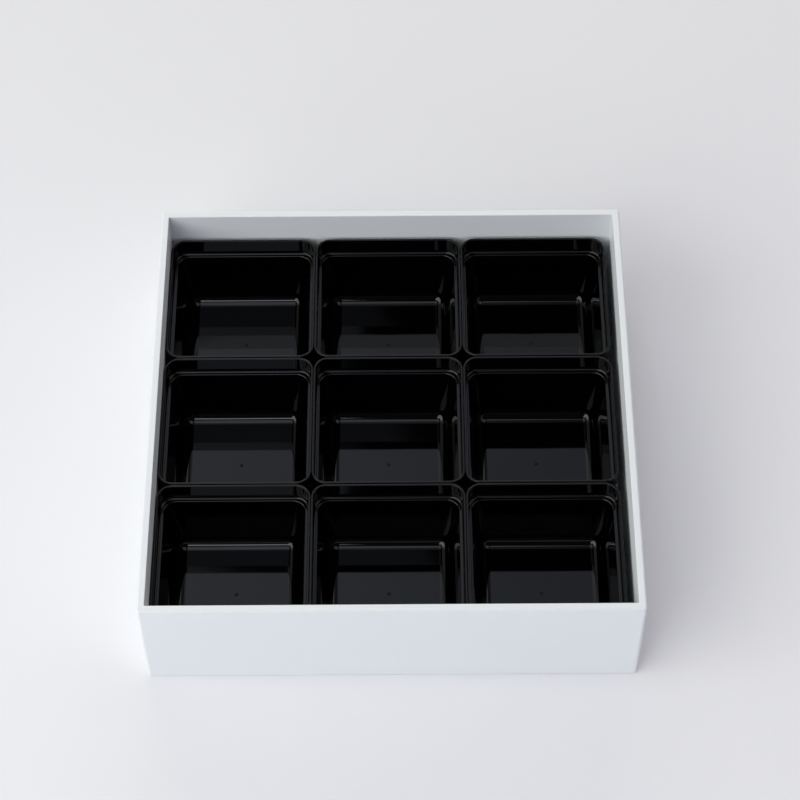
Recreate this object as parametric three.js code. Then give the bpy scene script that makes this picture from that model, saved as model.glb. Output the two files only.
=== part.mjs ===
// Square bento box: a low open box that holds nine loose cups, three by three.
// Millimetres, +Z up, origin at the middle of the box's underside. The front is at -Y.
import * as THREE from "three";

// Outer box
const BOX_SIDE = 195;
const BOX_HEIGHT = 52.5;
const BOX_WALL = 3;
const BOX_FLOOR_TOP = 3;
const BOX_CORNER_RADIUS = 1.4;
const BOX_INNER_CORNER_RADIUS = 0.7;
const BOX_OUTER_ROUNDING = 0.8;
const BOX_INNER_ROUNDING = 0.4;
const BOX_FLOOR_FILLET = 0.6;

// The underside is hollowed a little, so that the box stands on a flat foot along its edges.
const FOOT_WIDTH = 8;
const FOOT_DEPTH = 0.8;
const FOOT_SLOPE = 0.6;

// Cups
const CUP_SIDE = 61.8;
const CUP_HEIGHT = 35.55;
const CUP_WALL = 0.85;
const CUP_FLOOR = 0.85;
const CUP_CORNER_RADIUS = 6;
const CUP_LEDGE_DROP = 8.7;
const CUP_RIM_ROUNDING = 0.22;
const CUP_LEDGE_WIDTH = 1.65;
const CUP_LEDGE_CORNER_RADIUS = 4.87;
const CUP_LEDGE_FILLET = 0.9;
const CUP_LEDGE_ROUNDING = 0.4;
const CUP_SHOULDER_ROUNDING = 1.6;
const CUP_DRAFT = THREE.MathUtils.degToRad(8.3);
const CUP_FLOOR_CORNER_RADIUS = 4.5;
const CUP_FLOOR_FILLET = 4.06;
const CUP_BASE_FILLET = 4.8;
const GATE_MARK_RADIUS = 0.7;
const GATE_MARK_DEPTH = 0.3;

// Where the cups stand: the loose set has slid against the left wall and a little forwards.
const CUP_GAP_ACROSS = 0.2;
const CUP_GAP_DEEP = 0.45;
const CUP_GAP_LEFT = 0.3;
const CUP_SHIFT_FORWARD = 0.2;
const ROW_NAMES = ["front", "middle", "back"];
const COLUMN_NAMES = ["left", "centre", "right"];

// How finely the round corners and edges are cut, the closest that two cuts may lie, and how far
// a curve's handles reach towards the edge that it rounds, which makes it nearly circular.
const CORNER_STEPS = 5;
const LEAST_EDGE_STEPS = 2;
const EDGE_STEP_LENGTH = 1.25;
const LEAST_STEP = 0.01;
const ARC_HANDLE = 0.56;

function satinWhitePlastic() {
  return new THREE.MeshStandardMaterial({ color: 0xe6e8ec, roughness: 0.45, metalness: 0 });
}

function glossBlackPlastic() {
  return new THREE.MeshStandardMaterial({ color: 0x08080a, roughness: 0.08, metalness: 0 });
}

// A corner of a shell's profile: its distance from the centre line, its height, the radius of
// the square's corners there, and how far the profile's own edge is rounded off.
function edge(half, height, planRadius, rounding = 0) {
  return { at: new THREE.Vector3(half, height, planRadius), rounding };
}

// The point where a profile leaves or meets the centre line.
function middle(height) {
  return edge(0, height, 0);
}

// The distance between two profile points in the profile's own plane.
function profileDistance(one, other) {
  return Math.hypot(one.x - other.x, one.y - other.y);
}

// A point that lies a given distance from one profile point towards another.
function towards(from, to, distance) {
  return from.clone().lerp(to, distance / profileDistance(from, to));
}

// Points along the arc that rounds an edge off between its two sides.
function roundedEdge(before, at, after, rounding) {
  const start = towards(at, before, rounding);
  const end = towards(at, after, rounding);
  const leaving = start.clone().lerp(at, ARC_HANDLE);
  const arriving = end.clone().lerp(at, ARC_HANDLE);
  const steps = Math.max(LEAST_EDGE_STEPS, Math.ceil(rounding / EDGE_STEP_LENGTH));
  return new THREE.CubicBezierCurve3(start, leaving, arriving, end).getPoints(steps);
}

// Replaces each rounded edge of a profile by its arc.
function roundEdges(profile) {
  const stations = [];
  profile.forEach(({ at, rounding }, index) => {
    let curve = [at];
    if (rounding > 0) {
      curve = roundedEdge(profile[index - 1].at, at, profile[index + 1].at, rounding);
    }
    for (const station of curve) {
      const last = stations.at(-1);
      if (!last || profileDistance(last, station) > LEAST_STEP) stations.push(station);
    }
  });
  return stations;
}

// A square with rounded corners at one height, counter-clockwise from above.
function squareRing(half, height, planRadius) {
  const straight = half - planRadius;
  const ring = [];
  for (let quarter = 0; quarter < 4; quarter += 1) {
    const diagonal = (quarter + 0.5) * Math.PI / 2;
    const centreX = straight * Math.sign(Math.cos(diagonal));
    const centreY = straight * Math.sign(Math.sin(diagonal));
    for (let step = 0; step <= CORNER_STEPS; step += 1) {
      const angle = (quarter + step / CORNER_STEPS) * Math.PI / 2;
      const x = centreX + planRadius * Math.cos(angle);
      const y = centreY + planRadius * Math.sin(angle);
      ring.push(new THREE.Vector3(x, y, height));
    }
  }
  return ring;
}

// Lofts a closed shell through square rings. Its profile starts in the middle of the underside,
// goes out and up the outer wall, over the rim and down inside, to the middle of the floor.
function loftShell(profile) {
  const stations = roundEdges(profile);
  const underside = new THREE.Vector3(0, 0, stations.shift().y);
  const floor = new THREE.Vector3(0, 0, stations.pop().y);
  const rings = stations.map(({ x, y, z }) => squareRing(x, y, z));
  const count = rings[0].length;
  const points = [...rings.flat(), underside, floor];
  const lastRing = (rings.length - 1) * count;
  const undersideIndex = points.length - 2;
  const floorIndex = points.length - 1;

  const faces = [];
  for (let side = 0; side < count; side += 1) {
    const next = (side + 1) % count;
    faces.push(undersideIndex, next, side);
    for (let low = 0; low < lastRing; low += count) {
      const high = low + count;
      faces.push(low + side, low + next, high + next);
      faces.push(low + side, high + next, high + side);
    }
    faces.push(floorIndex, lastRing + side, lastRing + next);
  }

  const shell = new THREE.BufferGeometry().setFromPoints(points);
  shell.setIndex(faces);
  shell.computeVertexNormals();
  return shell;
}

// One moulding: a foot round the underside, upright walls with a rounded rim, and a flat floor.
function outerBox() {
  const outside = BOX_SIDE / 2;
  const inside = outside - BOX_WALL;
  const foot = outside - FOOT_WIDTH;
  const shell = loftShell([
    middle(FOOT_DEPTH),
    edge(foot - FOOT_SLOPE, FOOT_DEPTH, BOX_CORNER_RADIUS),
    edge(foot, 0, BOX_CORNER_RADIUS),
    edge(outside, 0, BOX_CORNER_RADIUS, BOX_OUTER_ROUNDING),
    edge(outside, BOX_HEIGHT, BOX_CORNER_RADIUS, BOX_OUTER_ROUNDING),
    edge(inside, BOX_HEIGHT, BOX_INNER_CORNER_RADIUS, BOX_INNER_ROUNDING),
    edge(inside, BOX_FLOOR_TOP, BOX_INNER_CORNER_RADIUS, BOX_FLOOR_FILLET),
    middle(BOX_FLOOR_TOP),
  ]);
  const box = new THREE.Mesh(shell, satinWhitePlastic());
  box.name = "outer_box";
  return box;
}

// One cup, standing on z = 0: a straight band under a rounded rim, a stacking ledge, a drafted
// lower wall of even thickness, and a floor with a wide fillet and the mark of its moulding gate.
function cupShell() {
  const outside = CUP_SIDE / 2;
  const bandInside = outside - CUP_WALL;
  const bandRadius = CUP_CORNER_RADIUS - CUP_WALL;
  const ledgeInside = bandInside - CUP_LEDGE_WIDTH;
  const ledgeTop = CUP_HEIGHT - CUP_LEDGE_DROP;
  const ledgeUnder = ledgeTop - CUP_WALL;
  const innerWallAt = (height) => ledgeInside - Math.tan(CUP_DRAFT) * (ledgeTop - height);
  const outerWallAt = (height) => innerWallAt(height) + CUP_WALL / Math.cos(CUP_DRAFT);
  const floorEdge = innerWallAt(CUP_FLOOR);
  const floorRadius = CUP_FLOOR_CORNER_RADIUS;
  const baseEdge = outerWallAt(0);
  const baseRadius = floorRadius + CUP_WALL;
  return loftShell([
    middle(0),
    edge(baseEdge - CUP_BASE_FILLET, 0, baseRadius - CUP_BASE_FILLET),
    edge(baseEdge, 0, baseRadius, CUP_BASE_FILLET),
    edge(outerWallAt(ledgeUnder), ledgeUnder, CUP_LEDGE_CORNER_RADIUS + CUP_WALL),
    edge(outside, ledgeUnder, CUP_CORNER_RADIUS, CUP_SHOULDER_ROUNDING),
    edge(outside, CUP_HEIGHT, CUP_CORNER_RADIUS, CUP_RIM_ROUNDING),
    edge(bandInside, CUP_HEIGHT, bandRadius, CUP_RIM_ROUNDING),
    edge(bandInside, ledgeTop, bandRadius, CUP_LEDGE_FILLET),
    edge(ledgeInside, ledgeTop, CUP_LEDGE_CORNER_RADIUS, CUP_LEDGE_ROUNDING),
    edge(floorEdge, CUP_FLOOR, floorRadius, CUP_FLOOR_FILLET),
    edge(floorEdge - CUP_FLOOR_FILLET, CUP_FLOOR, floorRadius - CUP_FLOOR_FILLET),
    edge(GATE_MARK_RADIUS, CUP_FLOOR, GATE_MARK_RADIUS),
    edge(GATE_MARK_RADIUS / 2, CUP_FLOOR - GATE_MARK_DEPTH, GATE_MARK_RADIUS / 2),
    middle(CUP_FLOOR - GATE_MARK_DEPTH),
  ]);
}

// Nine cups of the same moulding on the box's floor, each free to be lifted out.
function cups() {
  const set = new THREE.Group();
  const pitchAcross = CUP_SIDE + CUP_GAP_ACROSS;
  const pitchDeep = CUP_SIDE + CUP_GAP_DEEP;
  const leftColumn = -BOX_SIDE / 2 + BOX_WALL + CUP_GAP_LEFT + CUP_SIDE / 2;
  ROW_NAMES.forEach((rowName, row) => {
    COLUMN_NAMES.forEach((columnName, column) => {
      const cup = new THREE.Mesh(cupShell(), glossBlackPlastic());
      cup.name = `cup_${rowName}_${columnName}`;
      const across = leftColumn + column * pitchAcross;
      const deep = (row - 1) * pitchDeep - CUP_SHIFT_FORWARD;
      cup.position.set(across, deep, BOX_FLOOR_TOP);
      set.add(cup);
    });
  });
  return set;
}

const bentoBox = new THREE.Group();
bentoBox.add(outerBox(), cups());

export default bentoBox;
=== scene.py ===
from math import cos, radians, sin, tan

import bmesh
import bpy
from mathutils import Matrix, Vector


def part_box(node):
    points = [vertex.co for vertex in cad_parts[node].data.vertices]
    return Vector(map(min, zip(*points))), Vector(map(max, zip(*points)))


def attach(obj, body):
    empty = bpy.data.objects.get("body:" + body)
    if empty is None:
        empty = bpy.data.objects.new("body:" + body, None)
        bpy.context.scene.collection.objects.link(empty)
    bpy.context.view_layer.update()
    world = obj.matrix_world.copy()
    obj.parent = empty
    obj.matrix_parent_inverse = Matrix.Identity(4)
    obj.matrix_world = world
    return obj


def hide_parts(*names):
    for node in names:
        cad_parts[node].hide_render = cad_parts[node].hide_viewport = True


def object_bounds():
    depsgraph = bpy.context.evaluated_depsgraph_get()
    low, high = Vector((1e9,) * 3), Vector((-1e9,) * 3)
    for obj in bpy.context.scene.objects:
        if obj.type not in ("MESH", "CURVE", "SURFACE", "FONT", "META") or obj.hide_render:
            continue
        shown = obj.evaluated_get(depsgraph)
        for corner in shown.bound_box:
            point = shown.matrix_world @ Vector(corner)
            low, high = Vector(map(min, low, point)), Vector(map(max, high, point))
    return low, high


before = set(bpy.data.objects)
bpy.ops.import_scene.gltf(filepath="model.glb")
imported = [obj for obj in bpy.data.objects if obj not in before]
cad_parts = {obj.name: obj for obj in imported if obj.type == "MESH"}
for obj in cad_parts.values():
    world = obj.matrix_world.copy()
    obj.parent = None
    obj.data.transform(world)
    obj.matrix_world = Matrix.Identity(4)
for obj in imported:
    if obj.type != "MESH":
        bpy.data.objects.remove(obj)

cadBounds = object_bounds()
mm = 0.001               # sizes are written in millimetres
near = 0.005 * mm        # places closer than this are the same
levelFace = 0.9          # a level face's normal points at least this far up or down
rightAngle = radians(90)


# Modelling helpers

def selectOnly(piece):
    bpy.ops.object.select_all(action="DESELECT")
    piece.select_set(True)
    bpy.context.view_layer.objects.active = piece


def startPiece(name):
    # names the new primitive, puts its place and size into its mesh, and opens it for editing
    piece = bpy.context.active_object
    piece.name = name
    piece.data.name = name
    bpy.ops.object.transform_apply(location=True, rotation=True, scale=True)
    bpy.ops.object.mode_set(mode="EDIT")
    return piece


def pick(piece, kind, test):
    # selects only the faces or edges that pass the test
    bpy.ops.mesh.select_mode(type=kind)
    bpy.ops.mesh.select_all(action="DESELECT")
    mesh = bmesh.from_edit_mesh(piece.data)
    mesh.normal_update()
    for part in mesh.faces if kind == "FACE" else mesh.edges:
        if test(part):
            part.select_set(True)
    bmesh.update_edit_mesh(piece.data)


def roundEdges(piece, test, offset, cuts):
    pick(piece, "EDGE", test)
    bpy.ops.mesh.bevel(offset=offset, segments=cuts, affect="EDGES", clamp_overlap=False)


def isUpright(edge):
    one, other = (vertex.co for vertex in edge.verts)
    return (one.xy - other.xy).length < near


def isLevel(edge, height):
    return all(abs(vertex.co.z - height) < near for vertex in edge.verts)


def lowestReach(edge):
    # how far down the faces beside an edge go
    return min(vertex.co.z for face in edge.link_faces for vertex in face.verts)


def highestReach(edge):
    return max(vertex.co.z for face in edge.link_faces for vertex in face.verts)


def applyModifier(piece, kind, **settings):
    modifier = piece.modifiers.new(kind.lower(), kind)
    for name, setting in settings.items():
        setattr(modifier, name, setting)
    bpy.context.view_layer.objects.active = piece
    bpy.ops.object.modifier_apply(modifier=modifier.name)


def finishPiece(piece, material):
    # smooth all over, with normals that leave the wide flat faces flat
    bpy.ops.object.mode_set(mode="OBJECT")
    bpy.ops.object.shade_smooth()
    applyModifier(piece, "WEIGHTED_NORMAL", mode="FACE_AREA")
    piece.data.materials.clear()
    piece.data.materials.append(material)


# Shader helpers

class Value:
    # an output of a node; maths on values adds Math nodes
    def __init__(self, tree, socket=None):
        self.tree = tree
        self.socket = socket

    def add(self, kind, settings=None, sockets=None, output=0):
        node = self.tree.nodes.new(kind)
        for name, setting in (settings or {}).items():
            setattr(node, name, setting)
        for name, value in (sockets or {}).items():
            if isinstance(value, Value):
                self.tree.links.new(value.socket, node.inputs[name])
            else:
                node.inputs[name].default_value = value
        return Value(self.tree, node.outputs[output] if node.outputs else None)

    def maths(self, operation, one, other):
        return self.add("ShaderNodeMath", {"operation": operation}, {0: one, 1: other})

    def __add__(self, other):
        return self.maths("ADD", self, other)

    def __radd__(self, other):
        return self.maths("ADD", other, self)

    def __sub__(self, other):
        return self.maths("SUBTRACT", self, other)

    def __rsub__(self, other):
        return self.maths("SUBTRACT", other, self)

    def __mul__(self, other):
        return self.maths("MULTIPLY", self, other)

    def __rmul__(self, other):
        return self.maths("MULTIPLY", other, self)


noiseMiddle = 0.5        # the noise lies evenly to both sides of this
mixSockets = {"factor": 0, "colour": 6, "other": 7, "result": 2}     # those of a Mix node for colours


def startMaterial(name):
    material = bpy.data.materials.new(name)
    material.use_nodes = True
    material.node_tree.nodes.clear()
    return material, Value(material.node_tree)


def noise(start, size, detail):
    # soft noise from 0 to 1, with blotches about as wide as size
    place = start.add("ShaderNodeTexCoord", output="Object")
    return start.add("ShaderNodeTexNoise", {"normalize": True},
                     {"Vector": place, "Scale": 1 / size, "Detail": detail})


def blend(start, factor, colour, other):
    # a mix of two colours
    sockets = {mixSockets["factor"]: factor, mixSockets["colour"]: colour, mixSockets["other"]: other}
    return start.add("ShaderNodeMix", {"data_type": "RGBA"}, sockets, output=mixSockets["result"])


def finishMaterial(start, sockets):
    shader = start.add("ShaderNodeBsdfPrincipled", sockets=sockets)
    start.add("ShaderNodeOutputMaterial", sockets={"Surface": shader})


# Finishes

satinWhite = {
    "paler": (0.827, 0.857, 0.878, 1),
    "darker": (0.809, 0.838, 0.861, 1),
    "toneSize": 60 * mm,
    "toneDetail": 2,
    "roughness": 0.40,
    "patchy": 0.08,              # how far the roughness follows the tone, and the grain
    "grainy": 0.04,
    "grainSize": 0.5 * mm,
    "grainDetail": 2,
    "grainDepth": 0.006 * mm,
}


def makeSatinWhite():
    material, start = startMaterial("satinWhitePlastic")
    tone = noise(start, satinWhite["toneSize"], satinWhite["toneDetail"])
    grain = noise(start, satinWhite["grainSize"], satinWhite["grainDetail"])
    colour = blend(start, tone, satinWhite["darker"], satinWhite["paler"])
    bump = start.add("ShaderNodeBump", sockets={"Distance": satinWhite["grainDepth"], "Height": grain})
    roughness = satinWhite["roughness"] + satinWhite["patchy"] * (tone - noiseMiddle)
    roughness = roughness + satinWhite["grainy"] * (grain - noiseMiddle)
    finishMaterial(start, {"Base Color": colour, "Roughness": roughness, "Normal": bump})
    return material


glossBlack = {
    "deep": (0.0002, 0.0002, 0.00025, 1),
    "hazy": (0.0006, 0.0006, 0.0007, 1),
    "ior": 1.42,
    "roughness": 0.045,
    "smudged": 0.04,             # how far the roughness follows the smudges
    "smudgeSize": 22 * mm,
    "smudgeDetail": 4,
    "waveSize": 16 * mm,
    "waveDetail": 1,
    "waveDepth": 0.010 * mm,
}


def makeGlossBlack():
    material, start = startMaterial("glossBlackPlastic")
    smudge = noise(start, glossBlack["smudgeSize"], glossBlack["smudgeDetail"])
    wave = noise(start, glossBlack["waveSize"], glossBlack["waveDetail"])
    colour = blend(start, smudge, glossBlack["deep"], glossBlack["hazy"])
    bump = start.add("ShaderNodeBump", sockets={"Distance": glossBlack["waveDepth"], "Height": wave})
    roughness = glossBlack["roughness"] + glossBlack["smudged"] * (smudge - noiseMiddle)
    finishMaterial(start, {"Base Color": colour, "Roughness": roughness, "IOR": glossBlack["ior"],
                           "Normal": bump})
    return material


# Outer box: one moulding with upright walls, a rounded rim and a foot under its edges

boxShape = {
    "wall": 3.0 * mm,
    "floor": 3.0 * mm,           # from the table to the top of the floor
    "outerCorner": 1.4 * mm,
    "innerCorner": 0.7 * mm,
    "outerEdge": 0.8 * mm,
    "innerEdge": 0.4 * mm,
    "floorFillet": 0.6 * mm,
    "footWidth": 8.0 * mm,
    "footDepth": 0.8 * mm,
    "footSlope": 0.6 * mm,
    "cornerCuts": 6,
    "edgeCuts": 4,
}


def makeOuterBox(material):
    shape = boxShape
    low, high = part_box("outer_box")
    floorTop = low.z + shape["floor"]
    cuts = shape["edgeCuts"]
    bpy.ops.object.select_all(action="DESELECT")
    bpy.ops.mesh.primitive_cube_add(size=1, location=(low + high) / 2, scale=high - low)
    box = startPiece("outerBox")

    pick(box, "FACE", lambda face: face.normal.z < -levelFace)   # the foot
    bpy.ops.mesh.inset(thickness=shape["footWidth"])
    bpy.ops.mesh.inset(thickness=shape["footSlope"], depth=-shape["footDepth"])
    pick(box, "FACE", lambda face: face.normal.z > levelFace)    # the hollow
    bpy.ops.mesh.inset(thickness=shape["wall"])
    bpy.ops.mesh.extrude_region_move(TRANSFORM_OT_translate={"value": (0, 0, floorTop - high.z)})

    roundEdges(box, lambda edge: isUpright(edge) and lowestReach(edge) < low.z + near,
               shape["outerCorner"], shape["cornerCuts"])
    roundEdges(box, lambda edge: isUpright(edge) and lowestReach(edge) > low.z + near,
               shape["innerCorner"], shape["cornerCuts"])
    roundEdges(box, lambda edge: isLevel(edge, high.z) and lowestReach(edge) < low.z + near,
               shape["outerEdge"], cuts)
    roundEdges(box, lambda edge: isLevel(edge, low.z) and highestReach(edge) > floorTop,
               shape["outerEdge"], cuts)
    roundEdges(box, lambda edge: isLevel(edge, high.z) and abs(lowestReach(edge) - floorTop) < near,
               shape["innerEdge"], cuts)
    roundEdges(box, lambda edge: isLevel(edge, floorTop) and highestReach(edge) > floorTop + near,
               shape["floorFillet"], cuts)
    finishPiece(box, material)
    return box


# Cups: one moulding, modelled from its inner face and then given its wall

cupShape = {
    "node": "cup_middle_centre",     # where it is modelled
    "wall": 0.85 * mm,
    "cornerRadius": 6.0 * mm,    # outside, at the rim
    "rimEdge": 0.22 * mm,
    "ledgeDrop": 8.7 * mm,       # from the rim down to the stacking ledge
    "ledgeWidth": 1.65 * mm,
    "ledgeFillet": 0.9 * mm,     # where the band meets the ledge
    "ledgeEdge": 0.45 * mm,
    "draft": radians(8.3),
    "floorFillet": 4.7 * mm,
    "gateRadius": 0.7 * mm,      # the moulding gate's mark, a shallow dimple
    "gateDepth": 0.3 * mm,
    "gateCuts": 24,
    "cornerCuts": 12,
    "edgeCuts": 4,
    "filletCuts": 10,
}


def makeCup(material):
    shape = cupShape
    wall = shape["wall"]
    low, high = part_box(shape["node"])
    middle = (low + high) / 2
    inside = high.x - low.x - 2 * wall
    ledge = high.z - shape["ledgeDrop"]
    floor = low.z + wall
    ledgeInside = inside - 2 * shape["ledgeWidth"]
    floorInside = ledgeInside - 2 * tan(shape["draft"]) * (ledge - floor)
    setback = tan((rightAngle - shape["draft"]) / 2)     # of a fillet on the drafted wall, by its radius

    bpy.ops.object.select_all(action="DESELECT")
    bpy.ops.mesh.primitive_plane_add(size=inside, location=(middle.x, middle.y, high.z))
    cup = startPiece("cup")
    bpy.ops.mesh.bevel(offset=shape["cornerRadius"] - wall, segments=shape["cornerCuts"],
                       affect="VERTICES")

    bpy.ops.mesh.select_mode(type="FACE")                # the inner face, from the rim down to the floor
    bpy.ops.mesh.select_all(action="SELECT")
    band = (ledge - high.z, 1)
    step = (0, ledgeInside / inside)
    draftedWall = (floor - ledge, floorInside / ledgeInside)
    for drop, shrink in (band, step, draftedWall):
        bpy.ops.mesh.extrude_region_move(TRANSFORM_OT_translate={"value": (0, 0, drop)})
        bpy.ops.transform.resize(value=(shrink, shrink, 1), center_override=middle)
    pick(cup, "FACE", lambda face: min(vertex.co.z for vertex in face.verts) > high.z - near)
    bpy.ops.mesh.delete(type="ONLY_FACE")                # the open top

    roundEdges(cup, lambda edge: isLevel(edge, ledge) and highestReach(edge) > high.z - near,
               shape["ledgeFillet"], shape["edgeCuts"])
    roundEdges(cup, lambda edge: isLevel(edge, floor),
               shape["floorFillet"] * setback, shape["filletCuts"])
    bpy.ops.object.mode_set(mode="OBJECT")
    applyModifier(cup, "SOLIDIFY", thickness=wall, offset=-1, use_even_offset=True)

    bpy.ops.object.mode_set(mode="EDIT")                 # edges that are rounded on one side of the wall
    roundEdges(cup, lambda edge: isLevel(edge, high.z) and lowestReach(edge) < high.z - near,
               shape["rimEdge"], shape["edgeCuts"])
    wallFoot = floor + shape["floorFillet"]
    roundEdges(cup, lambda edge: isLevel(edge, ledge) and lowestReach(edge) < wallFoot,
               shape["ledgeEdge"] * setback, shape["edgeCuts"])
    bpy.ops.object.mode_set(mode="OBJECT")

    ball = (shape["gateRadius"] ** 2 + shape["gateDepth"] ** 2) / (2 * shape["gateDepth"])
    ballPlace = (middle.x, middle.y, floor + ball - shape["gateDepth"])
    bpy.ops.mesh.primitive_uv_sphere_add(segments=shape["gateCuts"], ring_count=shape["gateCuts"],
                                         radius=ball, location=ballPlace)
    gate = bpy.context.active_object
    applyModifier(cup, "BOOLEAN", operation="DIFFERENCE", solver="EXACT", object=gate)
    bpy.data.objects.remove(gate)
    selectOnly(cup)
    finishPiece(cup, material)
    return cup


def placeCup(cup, node, name):
    # a copy with its own mesh, moved to where the node stands
    selectOnly(cup)
    bpy.ops.object.duplicate(linked=False)
    copy = bpy.context.active_object
    copy.name = name
    copy.data.name = name
    copy.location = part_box(node)[0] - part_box(cupShape["node"])[0]
    bpy.ops.object.transform_apply(location=True, rotation=False, scale=False)
    return copy


print("materials")
whitePlastic = makeSatinWhite()
blackPlastic = makeGlossBlack()

print("outer box")
outerBox = makeOuterBox(whitePlastic)
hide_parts("outer_box")
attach(outerBox, "box")

print("cups")
firstCup = makeCup(blackPlastic)
for row in ("front", "middle", "back"):
    for column in ("left", "centre", "right"):
        node = f"cup_{row}_{column}"
        placedCup = placeCup(firstCup, node, f"cup{row.title()}{column.title()}")
        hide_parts(node)
        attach(placedCup, node)
bpy.data.objects.remove(firstCup)


# Studio: pale floor, soft light and the camera

studioFloor = {
    "side": 12.0,
    "colour": (0.857, 0.857, 0.882, 1),
    "roughness": 0.8,
}


def makeFloor():
    bpy.ops.object.select_all(action="DESELECT")
    bpy.ops.mesh.primitive_plane_add(size=studioFloor["side"], location=(0, 0, cadBounds[0].z))
    floor = startPiece("studioFloor")
    bpy.ops.object.mode_set(mode="OBJECT")
    material, start = startMaterial("paleFloor")
    finishMaterial(start, {"Base Color": studioFloor["colour"], "Roughness": studioFloor["roughness"]})
    floor.data.materials.append(material)


# panels face the box; around is clockwise from its back, and a strength of 1 looks white
studioLights = {
    "window": {"around": 235, "up": 36, "distance": 1.6, "width": 1.8, "height": 1.3,
               "strength": 2.19, "tint": (1, 1, 0.96)},
    "windowCorner": {"around": 197, "up": 55, "distance": 1.6, "width": 0.42, "height": 0.24,
                     "strength": 3.3, "tint": (0.87, 0.91, 1)},
    "overhead": {"around": 225, "up": 81, "distance": 1.6, "width": 0.62, "height": 0.62,
                 "strength": 0.92, "tint": (0.8, 0.85, 1)},
    "backWall": {"around": 0, "up": 28, "distance": 2.0, "width": 1.5, "height": 1.0,
                 "strength": 1.6, "tint": (1, 0.985, 0.87)},
    "backLow": {"around": 0, "up": 7, "distance": 2.0, "width": 1.5, "height": 0.5,
                "strength": 1.13, "tint": (0.79, 0.93, 1)},
    "backTop": {"around": 348, "up": 57, "distance": 1.6, "width": 0.9, "height": 0.55,
                "strength": 0.325, "tint": (0.66, 0.75, 1)},
    "rightTop": {"around": 75, "up": 60, "distance": 1.6, "width": 1.0, "height": 0.8,
                 "strength": 0.7, "tint": (1, 0.94, 0.94)},
    "rightBack": {"around": 45, "up": 30, "distance": 2.0, "width": 1.2, "height": 0.8,
                  "strength": 0.75, "tint": (0.89, 0.85, 1)},
    "rightLow": {"around": 95, "up": 10, "distance": 2.0, "width": 2.0, "height": 0.6,
                 "strength": 0.6, "tint": (1, 0.94, 0.85)},
    "front": {"around": 180, "up": 21, "distance": 2.0, "width": 2.4, "height": 0.6,
              "strength": 1.17, "tint": (0.78, 0.8, 1)},
}
whitePanel = 4.0                 # watts for each square metre of a panel that looks white


def makeLight(name, around, up, distance, width, height, strength, tint):
    around, up = radians(around), radians(up)
    towards = Vector((sin(around) * cos(up), cos(around) * cos(up), sin(up)))
    lamp = bpy.data.lights.new(name, "AREA")
    lamp.shape = "RECTANGLE"
    lamp.size = width
    lamp.size_y = height
    lamp.energy = whitePanel * width * height * strength
    lamp.color = tint
    light = bpy.data.objects.new(name, lamp)
    light.location = towards * distance
    light.rotation_euler = towards.to_track_quat("Z", "Y").to_euler()
    light.visible_camera = False                         # a low view shows no panel
    bpy.context.collection.objects.link(light)


roomLight = {
    "backLeft": (0.49, 0.49, 0.49, 1),
    "backRight": (0.17, 0.17, 0.17, 1),
    "front": (0.05, 0.05, 0.05, 1),
    "acrossSoftness": 0.12,      # how far to each side of the middle a change reaches
    "deepSoftness": 0.1,
}


def roomSide(start, direction, axis, softness):
    # 0 on one side of the room and 1 on the other, with a soft change between
    along = start.add("ShaderNodeSeparateXYZ", sockets={"Vector": direction}, output=axis)
    return start.add("ShaderNodeMapRange", {"interpolation_type": "SMOOTHSTEP"},
                     {"Value": along, "From Min": -softness, "From Max": softness})


def makeRoom():
    world = bpy.data.worlds.new("room")
    world.use_nodes = True
    world.node_tree.nodes.clear()
    start = Value(world.node_tree)
    direction = start.add("ShaderNodeTexCoord", output="Generated")
    toRight = roomSide(start, direction, "X", roomLight["acrossSoftness"])
    toBack = roomSide(start, direction, "Y", roomLight["deepSoftness"])
    back = blend(start, toRight, roomLight["backLeft"], roomLight["backRight"])
    colour = blend(start, toBack, roomLight["front"], back)
    background = start.add("ShaderNodeBackground", sockets={"Color": colour})
    start.add("ShaderNodeOutputWorld", sockets={"Surface": background})
    bpy.context.scene.world = world


cameraView = {
    "place": Vector((5.4, -539.0, 845.0)) * mm,
    "down": radians(55.8),       # below the horizon
    "turn": radians(0.19),
    "roll": radians(-0.515),
    "lens": 106.8,               # in millimetres, as is the sensor's width
    "sensor": 36,
}


def turned(angle, axis):
    return Matrix.Rotation(angle, 4, axis)               # four by four, as an object's own matrix is


def makeCamera():
    data = bpy.data.cameras.new("camera")
    data.lens = cameraView["lens"]
    data.sensor_width = cameraView["sensor"]
    camera = bpy.data.objects.new("camera", data)
    aim = turned(cameraView["turn"], "Z") @ turned(rightAngle - cameraView["down"], "X")
    camera.matrix_world = Matrix.Translation(cameraView["place"]) @ aim @ turned(cameraView["roll"], "Z")
    bpy.context.collection.objects.link(camera)
    bpy.context.scene.camera = camera


print("studio")
makeFloor()
for name, light in studioLights.items():
    makeLight(name, **light)
makeRoom()
makeCamera()
bpy.context.scene.view_settings.view_transform = "Standard"
